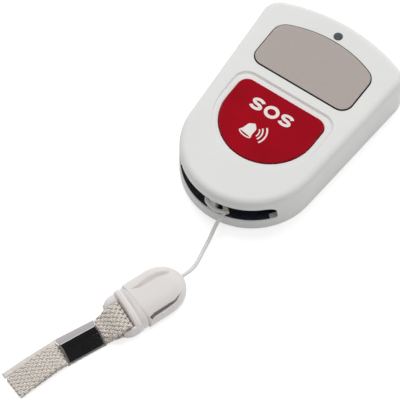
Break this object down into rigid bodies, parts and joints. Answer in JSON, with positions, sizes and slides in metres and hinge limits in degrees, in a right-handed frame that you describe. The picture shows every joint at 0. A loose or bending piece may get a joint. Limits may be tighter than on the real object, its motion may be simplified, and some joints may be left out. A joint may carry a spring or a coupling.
{
  "type": "wireless panic button",
  "caption": "White pendant case with a large red call key, grey plate and lamp, on a thin cord with a white safety clasp and a knitted neck strap.",
  "frame": {"origin": "centre of the case's flat back, on the surface that the pendant lies on, midway along the case without its cord", "axes": "+Z out of the face with the key, +Y along the case from the cord end to the lamp end, +X to the right seen from the front"},
  "size_m": [0.0492, 0.1543, 0.0154],
  "materials": {
    "case_white": "satin white moulded ABS with a fine spark texture",
    "tray_black": "matt black moulded plastic",
    "key_red": "satin crimson moulded plastic with white printed signs",
    "plate_grey": "satin grey-beige plate with a light edge",
    "film_black": "black adhesive film",
    "lamp_smoke": "smoked clear plastic",
    "diode_yellow": "small surface-mount lamp",
    "board_green": "green solder mask on glass-fibre board",
    "switch_black": "black moulded plastic",
    "switch_steel": "thin rolled steel",
    "plunger_white": "white moulded plastic",
    "cell_steel": "plated steel can",
    "contact_steel": "plated spring steel",
    "chip_black": "black epoxy package",
    "crystal_steel": "plated lid",
    "capacitor_tan": "tan ceramic",
    "aerial_brass": "etched metal strip",
    "screw_steel": "zinc-plated steel",
    "cord_white": "thin braided white cord",
    "clasp_white": "satin white moulded plastic",
    "strap_cream": "coarse cream-white knitted tape",
    "crimp_chrome": "polished chrome sleeve"
  },
  "bodies": {
    "case": {"front_cover": "case_white", "back_cover": "case_white", "inner_tray": "tray_black", "name_plate": "plate_grey", "plate_film": "film_black", "lamp_lens": "lamp_smoke", "lamp_diode": "diode_yellow", "circuit_board": "board_green", "switch_body": "switch_black", "switch_cover": "switch_steel", "switch_dome": "switch_steel", "coin_cell": "cell_steel", "contact_positive": "contact_steel", "contact_negative": "contact_steel", "radio_chip": "chip_black", "crystal": "crystal_steel", "capacitor_1": "capacitor_tan", "capacitor_2": "capacitor_tan", "capacitor_3": "capacitor_tan", "aerial": "aerial_brass", "case_screw_1": "screw_steel", "case_screw_2": "screw_steel", "case_screw_3": "screw_steel", "case_screw_4": "screw_steel", "neck_cord": "cord_white", "cord_loop": "cord_white", "cord_knot": "cord_white", "clasp_head": "clasp_white"},
    "key": {"call_key": "key_red"},
    "plunger": {"switch_plunger": "plunger_white"},
    "strap": {"clasp_socket": "clasp_white", "neck_strap": "strap_cream", "strap_crimp": "crimp_chrome"}
  },
  "joints": [
    {"name": "key_press", "type": "slide", "parent": "case", "child": "key", "axis": [0, 0, -1], "range_m": [0, 0.0005], "stiffness_N_per_m": 1500, "springref_m": -0.0004},
    {"name": "plunger_press", "type": "slide", "parent": "case", "child": "plunger", "axis": [0, 0, -1], "range_m": [0, 0.0005]},
    {"name": "clasp_release", "type": "slide", "parent": "case", "child": "strap", "axis": [-0.3206, -0.9472, 0], "range_m": [0, 0.012]}
  ],
  "couplings": [
    {"joint": "plunger_press", "follows": "key_press", "ratio": 1}
  ]
}
